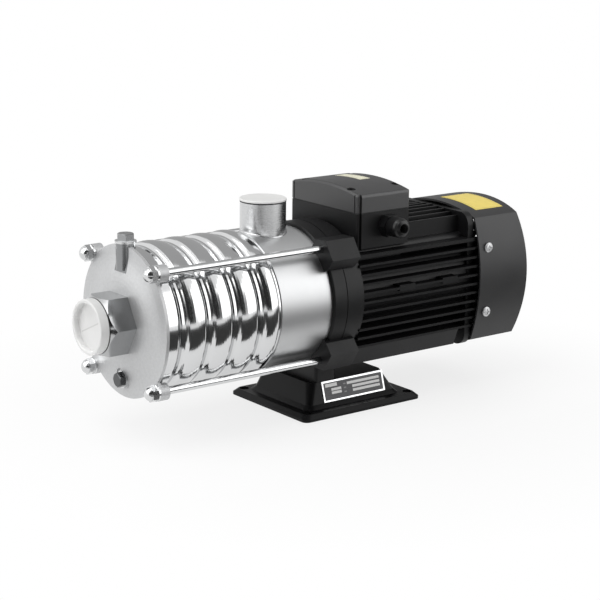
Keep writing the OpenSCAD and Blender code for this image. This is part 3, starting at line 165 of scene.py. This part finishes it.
def bump(tree, shader, height, depth):
    node = tree.nodes.new("ShaderNodeBump")
    node.inputs["Strength"].default_value = BUMP_STRENGTH
    node.inputs["Distance"].default_value = depth
    tree.links.new(height, node.inputs["Height"])
    tree.links.new(node.outputs["Normal"], shader.inputs["Normal"])


def between(tree, value, limits):
    """1 where a value lies between its limits, and 0 elsewhere."""
    above = math_node(tree, "GREATER_THAN", value, limits[0])
    below = math_node(tree, "LESS_THAN", value, limits[1])
    return math_node(tree, "MULTIPLY", above, below)


def field(tree, u, v, u_limits, v_limits):
    """1 where both coordinates lie between their limits, and 0 elsewhere."""
    return math_node(tree, "MULTIPLY", between(tree, u, u_limits), between(tree, v, v_limits))


# Materials

# How dark the darkest clouds are beside the colour itself
METAL_SHADE = 0.93
BLASTED_SHADE = 0.88
PAPER_SHADE = 0.94

# Shares of a coating's roughness between which its clouds vary it
COAT_ROUGH = (0.9, 1.1)

# The bead-blasted cover, and the smooth upright boss on it that carries the priming plug, whose darker
# colour is a painted dark reflection
BLASTED_METALLIC, BLASTED_ROUGH = 0.8, 0.5
BOSS_METALLIC, BOSS_ROUGH = 1.0, 0.16
BOSS_FOOT = SHAFT_Z + 44 * MM
BOSS_PAINTED_REFLECTION = (0.28, 0.285, 0.29)

# Limits of the data plate's panel, fields and short marks, as shares of its length and height
PLATE_PANEL = ((0.022, 0.978), (0.085, 0.915))
PLATE_ROWS = (0.66, 0.47, 0.28)
PLATE_ROW_STARTS = (0.40, 0.48, 0.48)
PLATE_FIELDS = [((0.05, 0.24), (0.70, 0.86)), ((0.14, 0.30), (0.50, 0.62)), ((0.14, 0.30), (0.34, 0.46))]
PLATE_FIELDS += [((start, 0.93), (row, row + 0.12)) for start, row in zip(PLATE_ROW_STARTS, PLATE_ROWS)]
PLATE_MARKS = [((0.34, 0.38), (row + 0.03, row + 0.09)) for row in PLATE_ROWS]
PLATE_SILVER = (0.74, 0.745, 0.75)
PLATE_BLACK = (0.022, 0.022, 0.026)
PLATE_WHITE = (0.72, 0.72, 0.71)
PLATE_GREY = (0.2, 0.2, 0.2)
PLATE_GRAIN = (2.0, 40.0, 40.0)
PLATE_ROUGH = (0.24, 0.34)

# The rib across the suction cap: its share of the cap's radius, its half width and its turn
RIB_REACH = 0.74
RIB_HALF = 0.6 * MM
RIB_TURN = math.radians(155.0)
CAP_WHITE = (0.78, 0.78, 0.775)
CAP_SHADE = (0.62, 0.62, 0.61)
CAP_CLOUDS = 0.3
CAP_DEPTH_OF_LIGHT = 2 * MM

# The printed border of a label: its distance from the edge, and its width
BORDER_IN = 1.6 * MM
BORDER_WIDTH = 0.5 * MM

# Narrower than the limits of noise, so that the paper's clouds stand out more
PAPER_LIMITS = (0.35, 0.65)


def metal(name, colour, rough, cloud=90.0, grain=900.0, stretch=EVEN, depth=0.01 * MM, spread=0.03,
          metallic=1.0):
    """Bare metal: faint clouds in its colour, and a directed grain in its roughness and bump."""
    material, tree, shader = new_material(name)
    tint = remap(tree, noise(tree, CLOUDS, cloud))
    tree.links.new(cloudy(tree, tint, colour, METAL_SHADE), shader.inputs["Base Color"])
    shader.inputs["Metallic"].default_value = metallic
    lines = noise(tree, LINES, grain, stretch)
    roughness = remap(tree, lines, target=(rough - spread, rough + spread))
    tree.links.new(roughness, shader.inputs["Roughness"])
    bump(tree, shader, lines, depth)
    return material


def blasted(name, colour):
    """Bead-blasted steel with fine mottling, smooth on the boss of the priming plug, where a darker colour
    paints a dark reflection.
    """
    material, tree, shader = new_material(name)
    tint = remap(tree, noise(tree, MOTTLE, scale=420.0))
    plain = cloudy(tree, tint, colour, BLASTED_SHADE)
    boss_half = half_width("priming_washer")
    boss_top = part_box("priming_washer")[1][2]
    boss = field(tree, axis(tree, "Y"), axis(tree, "Z"), (-boss_half, boss_half), (BOSS_FOOT, boss_top))
    # The boss gets a darker colour as a painted dark reflection, besides its real smooth finish
    tree.links.new(mix_colour(tree, boss, plain, BOSS_PAINTED_REFLECTION), shader.inputs["Base Color"])
    metallic = remap(tree, boss, UNIT, (BLASTED_METALLIC, BOSS_METALLIC))
    roughness = remap(tree, boss, UNIT, (BLASTED_ROUGH, BOSS_ROUGH))
    tree.links.new(metallic, shader.inputs["Metallic"])
    tree.links.new(roughness, shader.inputs["Roughness"])
    bump(tree, shader, noise(tree, SKIN, scale=2400.0), depth=0.05 * MM)
    return material


def coated(name, colour, rough, cloud, grain, depth, shade=0.85, gloss=0.5):
    """Paint, plastic or rubber: clouds in its colour and roughness, and a fine skin in its bump."""
    material, tree, shader = new_material(name)
    clouds = noise(tree, CLOUDS, cloud)
    tree.links.new(cloudy(tree, remap(tree, clouds), colour, shade), shader.inputs["Base Color"])
    roughness = remap(tree, clouds, target=(rough * COAT_ROUGH[0], rough * COAT_ROUGH[1]))
    tree.links.new(roughness, shader.inputs["Roughness"])
    shader.inputs["Specular IOR Level"].default_value = gloss
    bump(tree, shader, noise(tree, SKIN, grain), depth)
    return material


def printed_plate(name, node):
    """Silver plate with a dark panel, blank pale fields and grey marks, all without lettering."""
    low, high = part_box(node)
    material, tree, shader = new_material(name)
    u = remap(tree, axis(tree, "X"), (low[0], high[0]))
    v = remap(tree, axis(tree, "Z"), (low[2], high[2]))
    panel = field(tree, u, v, *PLATE_PANEL)
    colour = mix_colour(tree, panel, PLATE_SILVER, PLATE_BLACK)
    for limits in PLATE_FIELDS:
        colour = mix_colour(tree, field(tree, u, v, *limits), colour, PLATE_WHITE)
    for limits in PLATE_MARKS:
        colour = mix_colour(tree, field(tree, u, v, *limits), colour, PLATE_GREY)
    tree.links.new(colour, shader.inputs["Base Color"])
    tree.links.new(math_node(tree, "SUBTRACT", 1.0, panel), shader.inputs["Metallic"])
    lines = noise(tree, LINES, scale=60.0, stretch=PLATE_GRAIN)
    tree.links.new(remap(tree, lines, target=PLATE_ROUGH), shader.inputs["Roughness"])
    bump(tree, shader, lines, depth=0.01 * MM)
    return material


def ribbed_cap(name, node):
    """White moulded cap with one faint rib across its sunk panel."""
    material, tree, shader = new_material(name)
    y = axis(tree, "Y")
    z = math_node(tree, "SUBTRACT", axis(tree, "Z"), SHAFT_Z)

    def combine(kind, y_share, z_share):
        y_part = math_node(tree, "MULTIPLY", y, y_share)
        z_part = math_node(tree, "MULTIPLY", z, z_share)
        return math_node(tree, kind, y_part, z_part)

    along = combine("ADD", math.cos(RIB_TURN), math.sin(RIB_TURN))
    beside = combine("SUBTRACT", math.sin(RIB_TURN), math.cos(RIB_TURN))
    reach = half_width(node) * RIB_REACH
    rib = field(tree, along, beside, (-reach, reach), (-RIB_HALF, RIB_HALF))
    clouds = remap(tree, noise(tree, CLOUDS, scale=30.0), target=(0.0, CAP_CLOUDS))
    shade = math_node(tree, "MAXIMUM", clouds, rib)
    tree.links.new(mix_colour(tree, shade, CAP_WHITE, CAP_SHADE), shader.inputs["Base Color"])
    shader.inputs["Roughness"].default_value = 0.32
    shader.inputs["Subsurface Weight"].default_value = 0.15
    shader.inputs["Subsurface Radius"].default_value = (CAP_DEPTH_OF_LIGHT,) * 3
    bump(tree, shader, rib, depth=0.03 * MM)
    return material


def paper(name, low, high, colour, ink):
    """Paper with a thin printed border and no lettering, between two corners (x, y)."""
    material, tree, shader = new_material(name)
    x, y = axis(tree, "X"), axis(tree, "Y")

    def inset(edge):
        return field(tree, x, y, (low[0] + edge, high[0] - edge), (low[1] + edge, high[1] - edge))

    border = math_node(tree, "SUBTRACT", inset(BORDER_IN), inset(BORDER_IN + BORDER_WIDTH))
    clouds = noise(tree, CLOUDS, scale=160.0)
    base = cloudy(tree, remap(tree, clouds, PAPER_LIMITS), colour, PAPER_SHADE)
    tree.links.new(mix_colour(tree, border, base, ink), shader.inputs["Base Color"])
    shader.inputs["Roughness"].default_value = 0.42
    bump(tree, shader, clouds, depth=0.02 * MM)
    return material


# Colours and values that several looks share
BRIGHT = (0.70, 0.705, 0.71)
BLACK = (0.0055, 0.0055, 0.006)
POLISHED = {"rough": 0.13, "cloud": 14.0, "grain": 55.0, "stretch": ROUND_GRAIN}
SATIN = {"cloud": 14.0, "grain": 110.0, "depth": 0.008 * MM}
TURNED = {"cloud": 60.0, "grain": 60.0, "stretch": ROUND_GRAIN}
PAINT = {"rough": 0.42, "cloud": 25.0, "grain": 1100.0, "depth": 0.06 * MM}

metals = {
    "polished_steel": dict(colour=BRIGHT, **POLISHED),
    "nipple_steel": dict(colour=(0.46, 0.465, 0.47), **POLISHED),
    "satin_steel": dict(colour=(0.64, 0.645, 0.65), rough=0.44, stretch=ROUND_GRAIN, **SATIN),
    "tube_steel": dict(colour=(0.66, 0.665, 0.67), rough=0.26, stretch=UP_GRAIN, spread=0.025, **SATIN),
    "shaft_steel": dict(colour=(0.56, 0.57, 0.58), rough=0.22, spread=0.04, **TURNED),
    "iron": dict(colour=(0.25, 0.26, 0.27), rough=0.5, depth=0.06 * MM, spread=0.05, metallic=0.9, **TURNED),
    "bright_fasteners": dict(colour=BRIGHT, rough=0.18),
    "priming_plug_steel": dict(colour=(0.36, 0.365, 0.37), rough=0.2),
    "drain_plug_steel": dict(colour=(0.11, 0.112, 0.115), rough=0.2),
    "zinc_screws": dict(colour=(0.72, 0.725, 0.73), rough=0.45, metallic=0.75),
    "dark_bolts": dict(colour=(0.03, 0.03, 0.032), rough=0.4),
    "seal_metal": dict(colour=(0.45, 0.46, 0.47), rough=0.32, cloud=70.0),
    "brass": dict(colour=(0.70, 0.52, 0.22), rough=0.28, cloud=70.0, spread=0.04),
    "copper": dict(colour=(0.52, 0.22, 0.09), rough=0.35, cloud=70.0, grain=40.0, stretch=(1.0, 8.0, 8.0),
                   depth=0.3 * MM, spread=0.04, metallic=0.8),
}
coatings = {
    "black_casting": dict(colour=BLACK, rough=0.44, cloud=40.0, grain=1300.0, depth=0.1 * MM, gloss=0.28),
    "black_sheet": dict(colour=BLACK, rough=0.34, cloud=35.0, grain=1100.0, depth=0.05 * MM, gloss=0.14),
    "black_plastic": dict(colour=BLACK, rough=0.34, cloud=80.0, grain=1500.0, depth=0.03 * MM, gloss=0.4),
    "cover_paint": dict(colour=(0.024, 0.024, 0.025), gloss=0.46, **PAINT),
    "lid_paint": dict(colour=(0.022, 0.022, 0.023), gloss=0.8, **PAINT),
    "rubber": dict(colour=(0.016, 0.016, 0.016), rough=0.6, cloud=80.0, grain=1500.0, depth=0.05 * MM),
    "white_plastic": dict(colour=(0.80, 0.80, 0.79), rough=0.34, cloud=30.0, grain=500.0, depth=0.04 * MM,
                          shade=0.94),
    "cream_plastic": dict(colour=(0.70, 0.66, 0.56), rough=0.45, cloud=70.0, grain=900.0, depth=0.03 * MM,
                          shade=0.93),
    "ptfe": dict(colour=(0.80, 0.80, 0.78), rough=0.45, cloud=70.0, grain=900.0, depth=0.02 * MM,
                 shade=0.96),
    "ceramic": dict(colour=(0.78, 0.76, 0.72), rough=0.25, cloud=70.0, grain=900.0, depth=0.01 * MM,
                    shade=0.97),
}
materials = {
    "blasted_steel": blasted("blasted_steel", (0.60, 0.605, 0.61)),
    "plate_metal": printed_plate("plate_metal", "data_plate"),
    "cap_white": ribbed_cap("cap_white", "suction_cap"),
}
materials.update({name: metal(name, **look) for name, look in metals.items()})
materials.update({name: coated(name, **look) for name, look in coatings.items()})

# Nodes that look different from the other nodes in their slot
own_looks = {
    "discharge_tube": "tube_steel",
    "suction_cap": "cap_white",
    "suction_nipple": "nipple_steel",
    "box_lid": "lid_paint",
    "priming_plug": "priming_plug_steel",
    "drain_plug": "drain_plug_steel",
    "fan_cover_screws": "zinc_screws",
    "shield_bolts": "dark_bolts",
}
slots = {part["node"]: part["material_slot"] for part in frame["record"]["subparts"]}
for name, obj in nodes.items():
    obj.data.materials.clear()
    obj.data.materials.append(materials[own_looks.get(name, slots[name])])


# Small pieces on the frame

LABEL_STEPS = 24
RING_STEPS = 96
BEAD_SIDES = 10

# Both labels are half a millimetre thick, half of it in what they lie on
LABEL_HALF = 0.25 * MM

# The dark rings of painted shadow under the caps' rims: how far they stand out from a rim, how far they sink
# in, and their width
SHADOW_RING_PROUD = 0.15 * MM
SHADOW_RING_IN = 0.02 * MM
SHADOW_RING_WIDTH = 0.9 * MM


def new_object(name, points, faces, material, smooth=False):
    mesh = bpy.data.meshes.new(name)
    mesh.from_pydata(points, [], faces)
    mesh.update()
    for face in mesh.polygons:
        face.use_smooth = smooth
    mesh.materials.append(material)
    obj = bpy.data.objects.new(name, mesh)
    scene.collection.objects.link(obj)
    return obj


def add_piece(name, points, faces, material, smooth=False, body=BODY):
    obj = new_object(name, points, faces, material, smooth)
    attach(obj, body)


def ring_faces(sides):
    """Quads of a closed ring, whose points come as RING_STEPS sections with the same number of sides."""
    faces = []
    for k in range(RING_STEPS):
        a = k * sides
        b = (k + 1) % RING_STEPS * sides
        for j in range(sides):
            after = (j + 1) % sides
            faces.append((a + j, b + j, b + after, a + after))
    return faces


def curved_label(name, node, x_limits, y_limits, crown_r, look):
    """Thin paper on a node's top, which is an arc of radius crown_r across Y; x counts from its low end."""
    node_low, node_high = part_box(node)
    low = (node_low[0] + x_limits[0], y_limits[0])
    high = (node_low[0] + x_limits[1], y_limits[1])
    points = []
    for k in range(LABEL_STEPS + 1):
        y = low[1] + (high[1] - low[1]) * k / LABEL_STEPS
        z = node_high[2] - crown_r + math.sqrt(crown_r ** 2 - y ** 2)
        for x in (low[0], high[0]):
            points += [(x, y, z + LABEL_HALF), (x, y, z - LABEL_HALF)]
    end = 4 * LABEL_STEPS
    faces = []
    for a in range(0, end, 4):
        b = a + 4
        faces += [(a, a + 2, b + 2, b), (a + 1, b + 1, b + 3, a + 3),
                  (a, b, b + 1, a + 1), (a + 2, a + 3, b + 3, b + 2)]
    faces += [(0, 1, 3, 2), (end, end + 2, end + 3, end + 1)]
    add_piece(name, points, faces, paper(low=low, high=high, **look))


def weld_bead(name, x, tube_r, drum_r, bead_r, material):
    """Bead round the foot of an upright tube that stands on the drum."""
    points = []
    for k in range(RING_STEPS):
        a = 2 * math.pi * k / RING_STEPS
        out = Vector((math.cos(a), math.sin(a), 0.0))
        y = tube_r * out.y
        foot = Vector((x + tube_r * out.x, y, SHAFT_Z + math.sqrt(drum_r ** 2 - y ** 2)))
        for j in range(BEAD_SIDES):
            b = 2 * math.pi * j / BEAD_SIDES
            points.append(foot + bead_r * (out * math.cos(b) + Vector((0, 0, 1)) * math.sin(b)))
    add_piece(name, points, ring_faces(BEAD_SIDES), material, smooth=True)


def shadow_gap_ring(name, centre, turn, cap_r, body):
    """Dark ring just proud of a cap's rim, a painted shadow of the gap under the rim; it rises from its
    centre along the turned Z axis.
    """
    outer_r, inner_r = cap_r + SHADOW_RING_PROUD, cap_r + SHADOW_RING_IN
    section = ((outer_r, 0.0), (outer_r, SHADOW_RING_WIDTH), (inner_r, SHADOW_RING_WIDTH), (inner_r, 0.0))
    points = []
    for k in range(RING_STEPS):
        a = 2 * math.pi * k / RING_STEPS
        points += [centre + turn @ Vector((r * math.cos(a), r * math.sin(a), t)) for r, t in section]
    # The dark rubber look of the ring paints the shadow of the gap
    add_piece(name, points, ring_faces(len(section)), materials["rubber"], body=body)


# Yellow label on the fan cover, left without its warning
curved_label("cover_label", "fan_cover", x_limits=(14 * MM, 48.8 * MM), y_limits=(-41 * MM, 10 * MM),
             crown_r=165 * MM,
             look=dict(name="yellow_paper", colour=(0.90, 0.72, 0.17), ink=(0.52, 0.40, 0.10)))

# Pale label on the lid, left bare
curved_label("lid_label", "box_lid", x_limits=(34.5 * MM, 46.5 * MM), y_limits=(-10 * MM, 27 * MM),
             crown_r=218.4 * MM,
             look=dict(name="pale_paper", colour=(0.86, 0.84, 0.66), ink=(0.5, 0.48, 0.3)))

# Weld round the foot of the discharge tube
tube_low, tube_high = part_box("discharge_tube")
tube_x = (tube_low[0] + tube_high[0]) / 2
tube_r = (tube_high[0] - tube_low[0]) / 2
weld_bead("tube_weld", tube_x, tube_r, drum_r=half_width("discharge_chamber"), bead_r=0.9 * MM,
          material=materials["tube_steel"])

# Dark rings of painted shadow under the rims of both caps
tube_end = Vector((tube_x, 0.0, tube_high[2] - SHADOW_RING_IN - SHADOW_RING_WIDTH))
shadow_gap_ring("discharge_cap_shadow_ring", tube_end, Matrix.Identity(3), tube_r, "discharge_cap")
nipple_end = Vector((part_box("suction_nipple")[0][0] - SHADOW_RING_IN, 0.0, SHAFT_Z))
to_front = Matrix.Rotation(-math.pi / 2, 3, "Y")
shadow_gap_ring("suction_cap_shadow_ring", nipple_end, to_front, half_width("suction_cap"), "suction_cap")


# Floor and world

FLOOR_REACH = 6.0
FLOOR_DROP = 0.2 * MM
FLOOR_COLOUR = (0.86, 0.86, 0.86)
WORLD_LIGHT = 0.45

# The white share of the floor grows from the object outwards, between these distances
WHITE_REACH = (0.15, 0.40)
WHITE_SHARE = (0.78, 1.0)


def link_stage(name, points, faces, material):
    obj = new_object(name, points, faces, material)
    return obj


def glow(tree, kind, level=1.0, strength=1.0):
    """Shader that gives off plain grey light."""
    node = tree.nodes.new(kind)
    node.inputs["Color"].default_value = (level, level, level, 1.0)
    node.inputs["Strength"].default_value = strength
    return node.outputs[0]


def seen_ray(tree):
    """1 for a ray that shows the background: from the camera, off metal or through glass."""
    path = tree.nodes.new("ShaderNodeLightPath")
    seen = math_node(tree, "MAXIMUM", path.outputs["Is Camera Ray"], path.outputs["Is Transmission Ray"])
    return math_node(tree, "MAXIMUM", seen, path.outputs["Is Glossy Ray"])


def blend(tree, factor, plain, seen, surface):
    """Surface that goes from the plain shader to the seen one by a factor."""
    mix = tree.nodes.new("ShaderNodeMixShader")
    tree.links.new(factor, mix.inputs[0])
    tree.links.new(plain, mix.inputs[1])
    tree.links.new(seen, mix.inputs[2])
    tree.links.new(mix.outputs[0], surface)


def floor_material():
    """Pale floor that goes to white where it is seen, and keeps part of the shadow near the object."""
    material, tree, shader = new_material("floor")
    feed(tree, shader.inputs["Base Color"], FLOOR_COLOUR)
    shader.inputs["Roughness"].default_value = 0.6
    shader.inputs["Specular IOR Level"].default_value = 0.2
    length = tree.nodes.new("ShaderNodeVectorMath")
    length.operation = "LENGTH"
    tree.links.new(coords(tree), length.inputs[0])
    far = remap(tree, length.outputs["Value"], WHITE_REACH, WHITE_SHARE)
    factor = math_node(tree, "MULTIPLY", seen_ray(tree), far)
    surface = tree.nodes["Material Output"].inputs["Surface"]
    blend(tree, factor, shader.outputs["BSDF"], glow(tree, "ShaderNodeEmission"), surface)
    return material


def studio_world():
    """White where it is seen, and dimmer as a light."""
    world = bpy.data.worlds.new("studio")
    tree = empty_tree(world)
    out = tree.nodes.new("ShaderNodeOutputWorld")
    dim = glow(tree, "ShaderNodeBackground", strength=WORLD_LIGHT)
    white = glow(tree, "ShaderNodeBackground")
    blend(tree, seen_ray(tree), dim, white, out.inputs["Surface"])
    return world


signs = ((-1, -1), (1, -1), (1, 1), (-1, 1))
floor_points = [(x * FLOOR_REACH, y * FLOOR_REACH, -FLOOR_DROP) for x, y in signs]
link_stage("floor", floor_points, [(0, 1, 2, 3)], floor_material())
scene.world = studio_world()


# Studio cards and lamps, placed by azimuth and elevation about the object's middle

MIDDLE = Vector((-0.02, 0.0, 0.1))
LAMP_DISTANCE = 1.6
CARD_STEPS = 12
CARD_LIFT = 1.0 * MM


def place(azimuth, elevation, distance):
    a, e = math.radians(azimuth), math.radians(elevation)
    direction = Vector((math.cos(e) * math.cos(a), math.cos(e) * math.sin(a), math.sin(e)))
    return MIDDLE + direction * distance


def softbox(name, azimuth, elevation, size, radiance):
    data = bpy.data.lights.new(name, "AREA")
    data.shape = "RECTANGLE"
    data.size, data.size_y = size
    data.energy = radiance * math.pi * size[0] * size[1]
    obj = bpy.data.objects.new(name, data)
    obj.location = place(azimuth, elevation, LAMP_DISTANCE)
    obj.rotation_euler = (MIDDLE - obj.location).to_track_quat("-Z", "Y").to_euler()
    obj.visible_camera = False
    scene.collection.objects.link(obj)


def card(name, points, faces, level):
    """Plain grey card of the studio, seen only in reflections."""
    material = bpy.data.materials.new(name)
    tree = empty_tree(material)
    out = tree.nodes.new("ShaderNodeOutputMaterial")
    tree.links.new(glow(tree, "ShaderNodeEmission", level), out.inputs["Surface"])
    obj = link_stage(name, points, faces, material)
    obj.visible_camera = False
    obj.visible_diffuse = False
    obj.visible_transmission = False
    obj.visible_shadow = False


def wall_card(name, azimuths, elevations, distance, level):
    """Upright card round part of the studio, between two azimuths and two elevations."""
    turn = (azimuths[1] - azimuths[0]) / CARD_STEPS
    points = [place(azimuths[0] + turn * k, e, distance) for k in range(CARD_STEPS + 1) for e in elevations]
    faces = [(2 * k, 2 * k + 2, 2 * k + 3, 2 * k + 1) for k in range(CARD_STEPS)]
    card(name, points, faces, level)


def floor_card(name, low, high, level):
    """Card just over the floor, between two corners (x, y)."""
    corners = ((low[0], low[1]), (high[0], low[1]), (high[0], high[1]), (low[0], high[1]))
    card(name, [(x, y, CARD_LIFT) for x, y in corners], [(0, 1, 2, 3)], level)


softbox("key", azimuth=-40, elevation=21, size=(1.75, 1.36), radiance=1.2)
softbox("top", azimuth=175, elevation=66, size=(1.1, 0.8), radiance=4.4)
softbox("fill", azimuth=165, elevation=24, size=(1.5, 1.1), radiance=1.4)
wall_card("front_card", azimuths=(-165, -74), elevations=(-2, 75), distance=2.4, level=0.03)
wall_card("back_card", azimuths=(-16, 80), elevations=(-2, 84), distance=2.6, level=0.44)
floor_card("floor_card", low=(-0.9, -0.69), high=(1.3, -0.165), level=0.05)


# Camera, fitted to the outlines in the photograph

# The place is in metres, the lens and the sensor in millimetres
YAW, PITCH, ROLL = (math.radians(a) for a in (-37.659, 13.825, 0.688))
CAMERA_PLACE = (-1.0026, -1.2578, 0.4890)
LENS, SENSOR = 105.949, 36.0
CLIP_NEAR, CLIP_FAR = 0.01, 50.0

back = Vector((math.sin(YAW) * math.cos(PITCH), -math.cos(YAW) * math.cos(PITCH), math.sin(PITCH)))
right = Vector((math.cos(YAW), math.sin(YAW), 0.0))
up = back.cross(right)
rolled_right = right * math.cos(ROLL) + up * math.sin(ROLL)
rolled_up = up * math.cos(ROLL) - right * math.sin(ROLL)
camera_data = bpy.data.cameras.new("camera")
camera_data.sensor_width = SENSOR
camera_data.sensor_fit = "HORIZONTAL"
camera_data.lens = LENS
camera_data.clip_start = CLIP_NEAR
camera_data.clip_end = CLIP_FAR
camera = bpy.data.objects.new("camera", camera_data)
pose = Matrix((rolled_right, rolled_up, back)).transposed().to_4x4()
pose.translation = CAMERA_PLACE
camera.matrix_world = pose
scene.collection.objects.link(camera)
scene.camera = camera
scene.view_settings.view_transform = "Standard"
